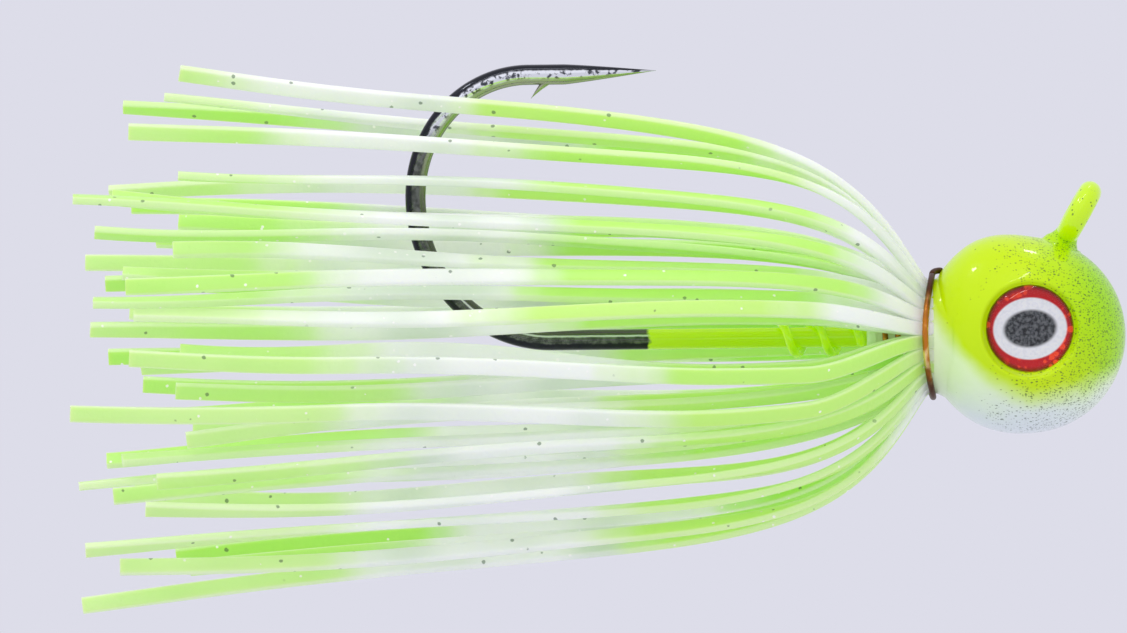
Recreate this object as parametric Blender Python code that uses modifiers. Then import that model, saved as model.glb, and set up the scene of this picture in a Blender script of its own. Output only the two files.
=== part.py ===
"""Skirted ball-head fishing jig, built as separate solids in metres.

The nose points along +X, the hook point along +Z. The shank axis runs through the centre of the ball, which is
the origin of the drawing; the whole jig is then set so that the centre of the line-tie ring is the world origin.
"""

import math
import random

import bpy
from mathutils import Vector

# Head casting
HEAD_DIAMETER = 0.0136
SHOULDER_LENGTH = 0.0008
LIP_LENGTH = 0.0006
LIP_STEP = 0.0003
WAIST_SIDE_ROOM = 0.00015
CAST_CLEARANCE = 0.00008

# Hook
HOOK_WIRE = 0.00142
HOOK_GAPE = 0.01845
SHANK_LENGTH = 0.033
BEND_REACH = 0.0094
BEND_LOWER_HEIGHT = 0.010
SPEAR_SETBACK = 0.0015
SPEAR_LENGTH = 0.0089
POINT_LENGTH = 0.0064
POINT_RISE = 0.0002
POINT_TIP = 0.00008
BARB_POSITION = 0.0072
BARB_LENGTH = 0.0015
BARB_DROP = 0.00165
BARB_ROOT = 0.00062
BARB_TIP = 0.00008
STEM_ANGLE = 60.7
STEM_ROOT = -0.0011
STEM_BEND = 0.002
RING_DIAMETER = 0.0032
RING_STANDOFF = 0.00012

# Bait keeper
KEEPER_WIRE = 0.00064
KEEPER_PITCH = 0.00245
KEEPER_TURNS = 2.3
KEEPER_CLEARANCE = 0.0001

# Wire on the collar
WRAP_WIRE = 0.0004
WRAP_PITCH = 0.00088
WRAP_TURNS = 2.25
WRAP_CLEARANCE = 0.00006
TIE_WIRE = 0.00044
TIE_SETBACK = 0.0003
TIE_TURN = 322.0
TIE_START = 98.0
TIE_TAG_REACH = 0.0009
TIE_TAG_RISE = 0.00035
TIE_CLEARANCE = 0.00006

# Eyes
EYE_DIAMETER = 0.006
EYE_RISE = 0.00045
EYE_RIM_GAP = 0.00035
SOCKET_DEPTH = 0.00072
PAD_THICKNESS = 0.00012
FOIL_THICKNESS = 0.00012
DOME_EDGE = 0.00022
DOME_CROWN = 0.0012
EYE_LAYER_GAP = 0.00004

# Skirt
STRAND_WIDTH = 0.00102
STRAND_THICKNESS = 0.00055
ROOT_SQUEEZE = 0.8
SQUEEZE_LENGTH = 0.004
STRAND_SIDE_GAP = 0.00004
STRAND_SEAT_GAP = 0.00006
STRAND_LAYER_GAP = 0.00006
STRAND_TUCK = 0.00045
STRAND_BEND_START = 0.00035
STRAND_BEND_SOFTNESS = 0.0007
SKIRT_FLATNESS = 0.2
SKIRT_SEED = 11
STRAND_POINTS = 13
REACH_MIN = 0.0508
REACH_MAX = 0.0590
STRAY_SHARE = 7 / 82
TWIST_MAX = 1.2
OUTER_RISE = 0.0094
OUTER_RISE_SPREAD = 0.0007
OUTER_BELL = 0.0044
OUTER_DRIFT = 0.0013
INNER_RISE = 0.0042
INNER_RISE_SPREAD = 0.0005
INNER_BELL = 0.0050
INNER_DRIFT = 0.0008

OUTER = {
    "name": "outer", "count": 25, "hook_gap": 12.0, "rise": OUTER_RISE, "rise_spread": OUTER_RISE_SPREAD,
    "length": OUTER_BELL, "slope": 0.078, "slope_spread": 0.02, "drift": OUTER_DRIFT, "stray": {0: 0.04, 12: 0.02},
}
INNER = {
    "name": "inner", "count": 22, "hook_gap": 20.0, "rise": INNER_RISE, "rise_spread": INNER_RISE_SPREAD,
    "length": INNER_BELL, "slope": 0.062, "slope_spread": 0.02, "drift": INNER_DRIFT, "stray": {},
}

# Sizes that follow from the ones above
HEAD_RADIUS = HEAD_DIAMETER / 2
HOOK_RADIUS = HOOK_WIRE / 2


def pitch_angle(layer):
    """Angle between neighbours when the strands of a layer share the collar outside the hook's gap."""
    return math.radians(360.0 - 2 * layer["hook_gap"]) / (layer["count"] - 1)


ROOT_THICKNESS = STRAND_THICKNESS * ROOT_SQUEEZE
SIDE_PITCH = STRAND_WIDTH * ROOT_SQUEEZE + STRAND_SIDE_GAP
LAYER_PITCH = ROOT_THICKNESS + STRAND_LAYER_GAP
INNER_ROOT = max(SIDE_PITCH / pitch_angle(INNER), SIDE_PITCH / pitch_angle(OUTER) - LAYER_PITCH)
OUTER_ROOT = INNER_ROOT + LAYER_PITCH
INNER["root"] = INNER_ROOT
OUTER["root"] = OUTER_ROOT
SHOULDER_RADIUS = INNER_ROOT - ROOT_THICKNESS / 2 - STRAND_SEAT_GAP
WAIST_RADIUS = SHOULDER_RADIUS - WRAP_WIRE - 2 * WRAP_CLEARANCE
LIP_RADIUS = SHOULDER_RADIUS - LIP_STEP
WAIST_LENGTH = WRAP_TURNS * WRAP_PITCH + WRAP_WIRE + 2 * WAIST_SIDE_ROOM
TIE_X = -HEAD_RADIUS - TIE_SETBACK
TIE_RADIUS = OUTER_ROOT + ROOT_THICKNESS / 2 + TIE_CLEARANCE + TIE_WIRE / 2
SHOULDER_END = TIE_X - SHOULDER_LENGTH
WAIST_END = SHOULDER_END - WAIST_LENGTH
COLLAR_END = WAIST_END - LIP_LENGTH

STEM = Vector((math.cos(math.radians(STEM_ANGLE)), 0, math.sin(math.radians(STEM_ANGLE))))
STEM_FOOT = Vector((STEM_ROOT, 0, 0))
ALONG = STEM_FOOT.dot(STEM)
STEM_LENGTH = -ALONG + math.sqrt(ALONG**2 - STEM_FOOT.length_squared + HEAD_RADIUS**2)
RING_OUTER = RING_DIAMETER / 2 + HOOK_RADIUS
RING_CENTRE = STEM_FOOT + STEM * (STEM_LENGTH + RING_STANDOFF + RING_OUTER)

for old in list(bpy.data.objects):
    bpy.data.objects.remove(old, do_unlink=True)

scene = bpy.context.scene
parts = bpy.data.collections.new("jig head")
cutters = bpy.data.collections.new("cutters and guides")
scene.collection.children.link(parts)
scene.collection.children.link(cutters)


def material(name, colour, metallic=0.0, roughness=0.4):
    """A plain Principled material."""
    made = bpy.data.materials.new(name)
    made.use_nodes = True
    shader = made.node_tree.nodes["Principled BSDF"]
    shader.inputs["Base Color"].default_value = (*colour, 1)
    shader.inputs["Metallic"].default_value = metallic
    shader.inputs["Roughness"].default_value = roughness
    made.diffuse_color = (*colour, 1)
    return made


PAINT = material("chartreuse paint", (0.62, 0.95, 0.02), 0.0, 0.15)
HOOK_STEEL = material("black nickel", (0.05, 0.05, 0.055), 1.0, 0.2)
COPPER = material("copper wire", (0.72, 0.40, 0.16), 1.0, 0.25)
GOLD = material("gold wire", (0.62, 0.42, 0.12), 1.0, 0.3)
PAD = material("eye adhesive", (0.75, 0.73, 0.68), 0.0, 0.6)
FOIL = material("red eye foil", (0.55, 0.03, 0.02), 0.6, 0.2)
DOME = material("clear dome", (0.92, 0.93, 0.95), 0.0, 0.03)
SILICONE = material("silicone", (0.60, 0.90, 0.30), 0.0, 0.35)

origin = bpy.data.objects.new("jig_origin", None)
origin.location = -RING_CENTRE
parts.objects.link(origin)


def place(obj, surface=None):
    """Puts a piece under the jig's origin, or among the hidden guides when it has no material."""
    obj.parent = origin
    if surface is None:
        obj.hide_render = True
        obj.display_type = "WIRE"
        cutters.objects.link(obj)
        return obj
    obj.data.materials.append(surface)
    parts.objects.link(obj)
    return obj


def tube(name, points, diameter, surface=None, scales=None, resolution=4):
    """A round wire along a row of points, closed at both ends."""
    curve = bpy.data.curves.new(name, "CURVE")
    curve.dimensions = "3D"
    curve.bevel_depth = diameter / 2
    curve.bevel_resolution = resolution
    curve.use_fill_caps = True
    spline = curve.splines.new("POLY")
    spline.points.add(len(points) - 1)
    for spot, place_at in zip(spline.points, points):
        spot.co = (*place_at, 1)
    if scales:
        for spot, scale in zip(spline.points, scales):
            spot.radius = scale
    return place(bpy.data.objects.new(name, curve), surface)


def as_mesh(obj):
    """Turns a curve object into a mesh object with welded caps, so that it can be cut or joined."""
    held = obj.evaluated_get(bpy.context.evaluated_depsgraph_get())
    mesh = bpy.data.meshes.new_from_object(held)
    mesh.name = obj.name
    name = obj.name
    homes = list(obj.users_collection)
    hidden = obj.hide_render
    bpy.data.objects.remove(obj, do_unlink=True)
    made = bpy.data.objects.new(name, mesh)
    made.parent = origin
    made.hide_render = hidden
    made.display_type = "WIRE" if hidden else "TEXTURED"
    for home in homes:
        home.objects.link(made)
    weld = made.modifiers.new("weld", "WELD")
    weld.merge_threshold = 1e-7
    return made


def turned(name, profile, axis, steps, surface=None):
    """A solid of revolution: a row of (along, out) points turned about the named axis."""
    mesh = bpy.data.meshes.new(name)
    if axis == "X":
        spots = [(along, 0, out) for along, out in profile]
    else:
        spots = [(out, along, 0) for along, out in profile]
    mesh.from_pydata(spots, [(i, i + 1) for i in range(len(spots) - 1)], [])
    obj = place(bpy.data.objects.new(name, mesh), surface)
    screw = obj.modifiers.new("turn", "SCREW")
    screw.axis = axis
    screw.steps = steps
    screw.render_steps = steps
    screw.use_merge_vertices = True
    screw.merge_threshold = 1e-7
    screw.use_normal_calculate = False
    screw.use_smooth_shade = True
    weld = obj.modifiers.new("weld", "WELD")
    weld.merge_threshold = 1e-7
    return obj


def join(obj, other, how):
    """A Boolean of one object with a guide."""
    step = obj.modifiers.new(how.lower(), "BOOLEAN")
    step.operation = how
    step.solver = "EXACT"
    step.object = other


def arc(centre, reach, rise, start, end, count):
    """Points on part of an ellipse in the hook's plane, its angles in degrees."""
    turns = [math.radians(start + (end - start) * i / count) for i in range(count + 1)]
    return [Vector((centre[0] + reach * math.cos(a), 0, centre[1] + rise * math.sin(a))) for a in turns]


def stem_bend():
    """The rounded corner between the stem and the shank, from the stem to the shank."""
    half = math.radians(STEM_ANGLE) / 2
    setback = STEM_BEND * math.tan(half)
    centre = STEM_FOOT + Vector((-setback, 0, STEM_BEND))
    turns = [math.radians(-90 + STEM_ANGLE * (1 - i / 6)) for i in range(7)]
    return [centre + STEM_BEND * Vector((math.cos(a), 0, math.sin(a))) for a in turns]


# Hook
bend = arc((-SHANK_LENGTH, BEND_LOWER_HEIGHT), BEND_REACH, BEND_LOWER_HEIGHT, 270, 180, 10)
bend += arc(
    (-SHANK_LENGTH - SPEAR_SETBACK, BEND_LOWER_HEIGHT),
    BEND_REACH - SPEAR_SETBACK, HOOK_GAPE - BEND_LOWER_HEIGHT, 180, 90, 10,
)[1:]
spear_start = bend[-1]
point_base = spear_start + Vector((SPEAR_LENGTH - POINT_LENGTH, 0, 0))
point_tip = spear_start + Vector((SPEAR_LENGTH, 0, POINT_RISE))
corner = stem_bend()
taper = [0.25, 0.5, 0.75]
hook_points = [RING_CENTRE - STEM * (RING_DIAMETER / 2)] + corner + bend + [point_base]
hook_points += [point_base.lerp(point_tip, t) for t in taper] + [point_tip]
hook_scales = [1.0] * (len(hook_points) - 4) + [1 - t**1.15 for t in taper] + [POINT_TIP / HOOK_WIRE]
hook = as_mesh(tube("hook", hook_points, HOOK_WIRE, HOOK_STEEL, hook_scales))

bpy.ops.mesh.primitive_torus_add(
    major_segments=28, minor_segments=12, major_radius=RING_DIAMETER / 2, minor_radius=HOOK_RADIUS
)
ring = bpy.context.object
for home in list(ring.users_collection):
    home.objects.unlink(ring)
ring.name = "ring_guide"
ring.location = RING_CENTRE
ring.rotation_euler = (0, -math.radians(STEM_ANGLE), 0)
place(ring)

barb_root = spear_start + Vector((SPEAR_LENGTH - BARB_POSITION, 0, 0))
barb_tip = barb_root + Vector((-BARB_LENGTH, 0, -BARB_DROP))
barb = as_mesh(tube("barb_guide", [barb_root, barb_tip], BARB_ROOT, None, [1.0, BARB_TIP / BARB_ROOT], 2))
join(hook, ring, "UNION")
join(hook, barb, "UNION")

# Head casting: ball, shoulder, waist and lip turned in one, with the hook's passage and the eye sockets cut out
shoulder_at = math.asin(SHOULDER_RADIUS / HEAD_RADIUS)
ball = [math.pi * i / 22 for i in range(23)]
head_profile = [(HEAD_RADIUS * math.cos(a), HEAD_RADIUS * math.sin(a)) for a in ball if a < math.pi - shoulder_at - 0.05]
head_profile[0] = (HEAD_RADIUS, 0)
head_profile += [
    (-HEAD_RADIUS * math.cos(shoulder_at), SHOULDER_RADIUS),
    (SHOULDER_END, SHOULDER_RADIUS),
    (SHOULDER_END, WAIST_RADIUS),
    (WAIST_END, WAIST_RADIUS),
    (WAIST_END, LIP_RADIUS),
    (COLLAR_END + LIP_LENGTH / 3, LIP_RADIUS),
    (COLLAR_END, LIP_RADIUS - LIP_LENGTH / 3),
    (COLLAR_END, 0),
]
head = turned("head_casting", head_profile, "X", 48, PAINT)
passage_points = [RING_CENTRE] + corner + [Vector((COLLAR_END - HOOK_WIRE, 0, 0))]
passage = as_mesh(tube("passage_guide", passage_points, HOOK_WIRE + 2 * CAST_CLEARANCE))
join(head, passage, "DIFFERENCE")

socket_radius = EYE_DIAMETER / 2 + EYE_RIM_GAP
rim_y = math.sqrt(HEAD_RADIUS**2 - (socket_radius + EYE_RISE) ** 2)
floor_y = rim_y - SOCKET_DEPTH
pad_y = floor_y + EYE_LAYER_GAP
foil_y = pad_y + PAD_THICKNESS + EYE_LAYER_GAP
dome_y = foil_y + FOIL_THICKNESS + EYE_LAYER_GAP
crown = [math.pi / 2 * i / 7 for i in range(8)]
eye_radius = EYE_DIAMETER / 2


def disc(name, sign, low, high, radius, surface=None, dome=0.0):
    """A flat disc across the Y axis between two heights, on the side of sign, with a domed outer face when asked."""
    outline = [(low, 0), (low, radius)]
    if dome:
        outline += [(high + dome * math.sin(a), radius * math.cos(a)) for a in crown[:-1]]
    else:
        outline += [(high, radius)]
    outline += [(high + dome, 0)]
    if sign > 0:
        outline.reverse()
    obj = turned(name, [(sign * along, out) for along, out in outline], "Y", 36, surface)
    obj.location = (0, 0, EYE_RISE)
    return obj


for side, sign in (("left", 1), ("right", -1)):
    socket = disc(f"socket_guide_{side}", sign, floor_y, HEAD_RADIUS + SOCKET_DEPTH, socket_radius)
    join(head, socket, "DIFFERENCE")
    disc(f"eye_pad_{side}", sign, pad_y, pad_y + PAD_THICKNESS, eye_radius, PAD)
    disc(f"eye_foil_{side}", sign, foil_y, foil_y + FOIL_THICKNESS, eye_radius, FOIL)
    disc(f"eye_dome_{side}", sign, dome_y, dome_y + DOME_EDGE, eye_radius, DOME, DOME_CROWN)


def helix(start_x, pitch, radius, start, turn, per_loop=24):
    """Points of a coil about the shank axis; angles in degrees, 90 at the top, growing towards -Y first."""
    count = max(2, round(abs(turn) / 360 * per_loop))
    points = []
    for i in range(count + 1):
        angle = math.radians(start + turn * i / count)
        x = start_x + pitch * turn / 360 * i / count
        points.append(Vector((x, radius * math.cos(angle), radius * math.sin(angle))))
    return points


def least_gap(points, diameter, apart):
    """Smallest clear gap of a wire to itself, leaving out spots less than `apart` points from each other."""
    pairs = ((a, b) for i, a in enumerate(points) for b in points[i + apart:])
    return min((a - b).length for a, b in pairs) - diameter


# Bait keeper, the wrap in the waist, and the tie over the strands
keeper_radius = HOOK_RADIUS + KEEPER_CLEARANCE + KEEPER_WIRE / 2
keeper_front = COLLAR_END - KEEPER_CLEARANCE - KEEPER_WIRE / 2
keeper_points = helix(keeper_front - KEEPER_TURNS * KEEPER_PITCH, KEEPER_PITCH, keeper_radius, 90, 360 * KEEPER_TURNS)
tube("keeper_coil", keeper_points, KEEPER_WIRE, PAINT, None, 2)
print("keeper coil least gap mm", round(1000 * least_gap(keeper_points, KEEPER_WIRE, 12), 3))

wrap_radius = WAIST_RADIUS + WRAP_CLEARANCE + WRAP_WIRE / 2
wrap_start = WAIST_END + WAIST_SIDE_ROOM + WRAP_WIRE / 2
wrap_points = helix(wrap_start, WRAP_PITCH, wrap_radius, 60, 360 * WRAP_TURNS)
tube("collar_wrap", wrap_points, WRAP_WIRE, GOLD, None, 1)
print("collar wrap least gap mm", round(1000 * least_gap(wrap_points, WRAP_WIRE, 12), 3))

tie_points = helix(TIE_X, 0.0, TIE_RADIUS, TIE_START, TIE_TURN)
tag = []
for share in (1.0, 0.6, 0.25):
    angle = math.radians(TIE_START - 16 * share)
    out = TIE_RADIUS + TIE_TAG_RISE * math.sqrt(share)
    tag.append(Vector((TIE_X + TIE_TAG_REACH * share**1.6, out * math.cos(angle), out * math.sin(angle))))
tie_points = tag + tie_points
tube("tie_wire", tie_points, TIE_WIRE, COPPER, None, 2)
print("tie wire least gap mm", round(1000 * least_gap(tie_points, TIE_WIRE, 12), 3))

# Skirt: each strand is a strip with a rectangular section that follows its own bell line
profile_curve = bpy.data.curves.new("strand_profile", "CURVE")
profile_curve.dimensions = "2D"
section = profile_curve.splines.new("POLY")
section.points.add(3)
half_w = STRAND_WIDTH / 2
half_t = STRAND_THICKNESS / 2
for spot, (u, v) in zip(section.points, ((-half_w, -half_t), (-half_w, half_t), (half_w, half_t), (half_w, -half_t))):
    spot.co = (u, v, 0, 1)
section.use_cyclic_u = True
strand_profile = place(bpy.data.objects.new("strand_profile", profile_curve))


def bell(distance, rise, length, slope):
    """How far a strand has spread at a distance behind the tie: a soft start, a steep rise, then a slow slope."""
    behind = max(0.0, distance - STRAND_BEND_START)
    eased = behind**2 / (behind + STRAND_BEND_SOFTNESS)
    return rise * (1 - math.exp(-eased / length)) + slope * eased


def skirt_layer(layer, chance):
    """All the strands of one layer, side by side round the collar with a gap at the top for the hook."""
    for index in range(layer["count"]):
        angle = math.radians(90.0 + layer["hook_gap"]) + pitch_angle(layer) * index
        flat = 1 - SKIRT_FLATNESS * math.cos(angle) ** 2
        rise = flat * (layer["rise"] + layer["rise_spread"] * chance.uniform(-1, 1))
        slope = flat * (layer["slope"] + layer["slope_spread"] * chance.uniform(-1, 1))
        slope += layer["stray"].get(index, 0.0)
        reach_share = chance.random()
        if index == 0 and layer["stray"]:
            reach_share = STRAY_SHARE
        reach = REACH_MIN + (REACH_MAX - REACH_MIN) * reach_share
        drift = layer["drift"] * chance.uniform(-1, 1)
        twist = TWIST_MAX * chance.uniform(-1, 1)
        if index in (0, layer["count"] - 1):
            drift = abs(drift) if index else -abs(drift)
        name = f"strand_{layer['name']}_{index + 1:02d}"
        curve = bpy.data.curves.new(name, "CURVE")
        curve.dimensions = "3D"
        curve.twist_mode = "Z_UP"
        curve.bevel_mode = "OBJECT"
        curve.bevel_object = strand_profile
        curve.use_fill_caps = True
        spline = curve.splines.new("POLY")
        spline.points.add(STRAND_POINTS)
        for i, spot in enumerate(spline.points):
            share = (i - 1) / (STRAND_POINTS - 1)
            behind = -STRAND_TUCK if i == 0 else STRAND_BEND_START + (reach - STRAND_BEND_START) * share**2.1
            along = max(0.0, behind / reach)
            out = bell(behind, rise, layer["length"], slope)
            spot.co = (-behind, drift * along**2, out, 1)
            spot.tilt = twist * along**2
            spot.radius = ROOT_SQUEEZE + (1 - ROOT_SQUEEZE) * min(1.0, max(0.0, behind / SQUEEZE_LENGTH))
        obj = place(bpy.data.objects.new(name, curve), SILICONE)
        obj.location = (TIE_X, layer["root"] * math.cos(angle), layer["root"] * math.sin(angle))
        obj.rotation_euler = (angle - math.pi / 2, 0, 0)


skirt_layer(OUTER, random.Random(SKIRT_SEED))
skirt_layer(INNER, random.Random(SKIRT_SEED + 1))
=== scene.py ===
"""Look model of a skirted ball-head jig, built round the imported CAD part.

Sizes are in metres. Shapes are drawn from the centre of the ball, and BALL moves them to the part's own
frame, whose origin is the centre of the line-tie ring. The patterns in the finishes are in millimetres from
the centre of the ball.
"""

import math
import random

import bmesh
import bpy
import numpy as np
from mathutils import Matrix, Vector


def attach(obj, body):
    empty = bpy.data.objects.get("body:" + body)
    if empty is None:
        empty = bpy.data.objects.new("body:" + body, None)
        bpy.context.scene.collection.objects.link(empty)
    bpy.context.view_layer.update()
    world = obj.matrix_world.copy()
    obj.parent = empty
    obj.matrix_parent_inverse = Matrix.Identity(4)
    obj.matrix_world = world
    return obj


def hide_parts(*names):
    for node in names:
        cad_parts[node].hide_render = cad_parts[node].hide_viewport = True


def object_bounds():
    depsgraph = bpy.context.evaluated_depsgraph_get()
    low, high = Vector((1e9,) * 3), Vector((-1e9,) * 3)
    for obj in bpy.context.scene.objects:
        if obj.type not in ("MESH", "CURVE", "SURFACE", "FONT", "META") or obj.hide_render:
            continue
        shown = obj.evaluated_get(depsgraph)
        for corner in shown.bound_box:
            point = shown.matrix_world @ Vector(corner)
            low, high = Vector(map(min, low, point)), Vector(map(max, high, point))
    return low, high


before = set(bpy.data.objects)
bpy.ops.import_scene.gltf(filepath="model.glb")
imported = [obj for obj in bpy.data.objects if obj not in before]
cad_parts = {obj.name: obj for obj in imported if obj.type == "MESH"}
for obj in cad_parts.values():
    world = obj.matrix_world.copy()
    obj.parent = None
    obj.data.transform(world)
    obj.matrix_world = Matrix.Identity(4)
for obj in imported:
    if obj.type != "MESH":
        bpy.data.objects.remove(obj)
cad_low, cad_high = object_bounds()

MM = 0.001
BALL = np.array([-3.647, 0.0, -8.459]) * MM
ACROSS = np.array([0.0, 1.0, 0.0])
SHANKWISE = np.array([1.0, 0.0, 0.0])
MERGE_DISTANCE = 0.0001 * MM
SHARP_ANGLE = math.radians(62)

# Head and collar, where the fuller part of the back is in degrees from the shank
HEAD_RADIUS = 6.8 * MM
SHOULDER_RADIUS = 2.939 * MM
WAIST_RADIUS = 2.419 * MM
LIP_RADIUS = 2.639 * MM
SHOULDER_END = -7.9 * MM
WAIST_END = -10.58 * MM
COLLAR_END = -11.18 * MM
BACK_FULLNESS = 0.1
FULL_GROWTH = 30
FULL_FADE = 55
FULL_FADE_SPAN = 45
FULL_LEVEL = 0.75
FULL_LIFT = 0.35
LIP_CHAMFER = 0.2 * MM
SEAT_START = -5.3 * MM
SEAT_END = -6.85 * MM
SEAT_RADIUS = 3.95 * MM
SEAT_FLARE = 0.75 * MM
SEAT_CURVE = 1.8

# Painted glow: emission that lifts the bright paint and the pale pieces out of their shade, as shares of
# their own colour
PAINT_GLOW = 0.18
HEAD_GLOW = 0.3 * PAINT_GLOW
FOIL_GLOW = 0.14
STRAND_GLOW = 0.08

# Eyes
EYE_RISE = 0.45 * MM
EYE_RADIUS = 3.0 * MM
SOCKET_FLOOR = 5.2 * MM
FILL_HEIGHT = 5.5 * MM
FILL_STEP = 0.04 * MM
FILL_WIDTH = 0.52 * MM
DOME_FOOT = 5.28 * MM
DOME_EDGE = 0.22 * MM
DOME_CROWN = 1.2 * MM
EYE_CENTRING = 0.6

# Patterns, in millimetres: where the paint on the shank ends, and the ovals printed on the eyes
PAINT_EDGE = -26.4
IRIS_HALF = (2.42, 2.03)
PUPIL_HALF = (1.74, 1.23)
PRINT_X = 0.02
PRINT_Z = EYE_RISE / MM
PRINT_LEAN = math.radians(5)

# Hook
HOOK_RADIUS = 0.71 * MM
SHANK_LENGTH = 33.0 * MM
SHANK_MARGIN = 1.0 * MM
BEND_REACH = 9.4 * MM
BEND_HEIGHT = 10.0 * MM
HOOK_GAPE = 18.45 * MM
SPEAR_SETBACK = 1.5 * MM
SPEAR_LENGTH = 8.9 * MM
SPEAR_GAP = 0.15 * MM
POINT_LENGTH = 6.4 * MM
POINT_RISE = 0.2 * MM
POINT_CURVE = 1.15
BARB_POSITION = 7.2 * MM
BARB_LENGTH = 1.5 * MM
BARB_DROP = 1.65 * MM
BARB_RADIUS = 0.34 * MM
BARB_SEAT = 0.2 * MM
BARB_BOW = 0.12 * MM
BARB_CURVE = 1.3
STEM_ANGLE = math.radians(60.7)
STEM_ROOT = -1.1 * MM
STEM_BEND = 2.0 * MM
RING_RADIUS = 1.6 * MM
RING_COAT = 1.12
STEM_OUT = 7.27 * MM
FILLET_FOOT = -0.3 * MM
FILLET_TOP = 0.95 * MM
FILLET_FLARE = 0.5 * MM
FORGING = 0.16
FORGED_START = 2.0 * MM
FORGED_GROWTH = 6.0 * MM
FORGED_TOP = 15.0 * MM
FORGED_FADE = 3.0 * MM
HOOK_SIDES = 28

# Coil and wires, with angles in degrees and 90 at the top
KEEPER_RADIUS = 0.32 * MM
KEEPER_COIL = 1.13 * MM
KEEPER_PITCH = 2.45 * MM
KEEPER_TURNS = 2.3
KEEPER_GAP = 0.42 * MM
WRAP_RADIUS = 0.2 * MM
WRAP_PITCH = 0.88 * MM
WRAP_TURNS = 2.25
WRAP_START = 60
WRAP_INSET = 0.35 * MM
WRAP_LIFT = 0.26 * MM
TIE_X = -7.1 * MM
TIE_RADIUS = 0.22 * MM
TIE_TURN = 322
TIE_START = 98
TIE_GAP = 0.06 * MM
TIE_BOW = 0.6 * MM
TIE_BOW_REST = 0.4
TIE_SHIFT = 0.14 * MM
TAG_TURN = 16
TAG_LIFT = 0.35 * MM
TAG_REACH = 0.6 * MM
TAG_CURVE = 1.6

# Skirt, with twist and turn in radians, waves in millimetres and the gaps beside the hook in degrees
STRAND_WIDTH = 1.16 * MM
STRAND_THICKNESS = 0.6 * MM
STRAND_SIDES = 16
STRAND_CORNER = 0.42
ROOT_SQUEEZE = 0.8
SQUEEZE_LENGTH = 4.0 * MM
STRAND_TUCK = 0.5 * MM
STATION_CROWDING = 1.8
BEND_START = 0.35 * MM
BEND_SOFTNESS = 0.7 * MM
SKIRT_FLATNESS = 0.2
SKIRT_SEED = 11
REACH_MIN = 50.8 * MM
REACH_MAX = 59.0 * MM
STRAY_SHARE = 7 / 82
TWIST_MAX = 1.2
TURN_MAX = 1.2
TURN_LENGTH = 18.0 * MM
SIDE_WAVE = (0.25, 0.6)
SIDE_PACE = (0.8, 1.6)
UP_WAVE = (0.2, 0.5)
UP_PACE = (0.8, 1.5)
PARTING = 1.5 * MM
PARTING_ABOVE = 0.3
PARTING_BAND = 0.35
PARTING_START = 0.5 * MM
PARTING_GROWTH = 8.0 * MM
PARTING_FADE = 14.0 * MM
PARTING_FADE_SPAN = 26.0 * MM
INNER_ROOT = 3.219 * MM
OUTER_ROOT = 3.719 * MM
LAYERS = (
    {"name": "outer", "count": 25, "hook_gap": 12.0, "rise": 9.4 * MM, "rise_spread": 0.7 * MM,
     "length": 4.4 * MM, "slope": 0.078, "slope_spread": 0.02, "drift": 1.3 * MM,
     "stray": {0: 0.04, 12: 0.02}, "root": OUTER_ROOT},
    {"name": "inner", "count": 22, "hook_gap": 20.0, "rise": 4.2 * MM, "rise_spread": 0.5 * MM,
     "length": 5.0 * MM, "slope": 0.062, "slope_spread": 0.02, "drift": 0.8 * MM,
     "stray": {}, "root": INNER_ROOT},
)

# Surround
BACKDROP_RGB = (221, 221, 233)
DAYLIGHT = (0.845, 0.85, 0.865, 1.0)
FLOOR_SIZE = 0.5
FLOOR_BACK = 0.03
FLOOR_DROP = 0.025
FLOOR_FADE = (0.05, 0.12)
LAMP_DISTANCE = 0.4
SKIRT_MIDDLE = (-0.036, 0.0, -0.008)

# Camera: the photograph spans 78.3 mm at the jig and leans by 0.011 radians, a little over half a degree
CAMERA_DISTANCE = 1100.0 * MM
PHOTO_SPAN = 78.26 * MM
SENSOR_WIDTH = 36.0
CAMERA_BACK = 32.21 * MM
CAMERA_UP = 1.64 * MM
CAMERA_LEAN = -0.011


def srgb(red, green, blue):
    """A colour given as 0-255 display values, in linear light with alpha 1."""
    shares = [v / 255 for v in (red, green, blue)]
    return tuple(((s + 0.055) / 1.055) ** 2.4 if s > 0.04 else s / 12.92 for s in shares) + (1.0,)


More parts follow.
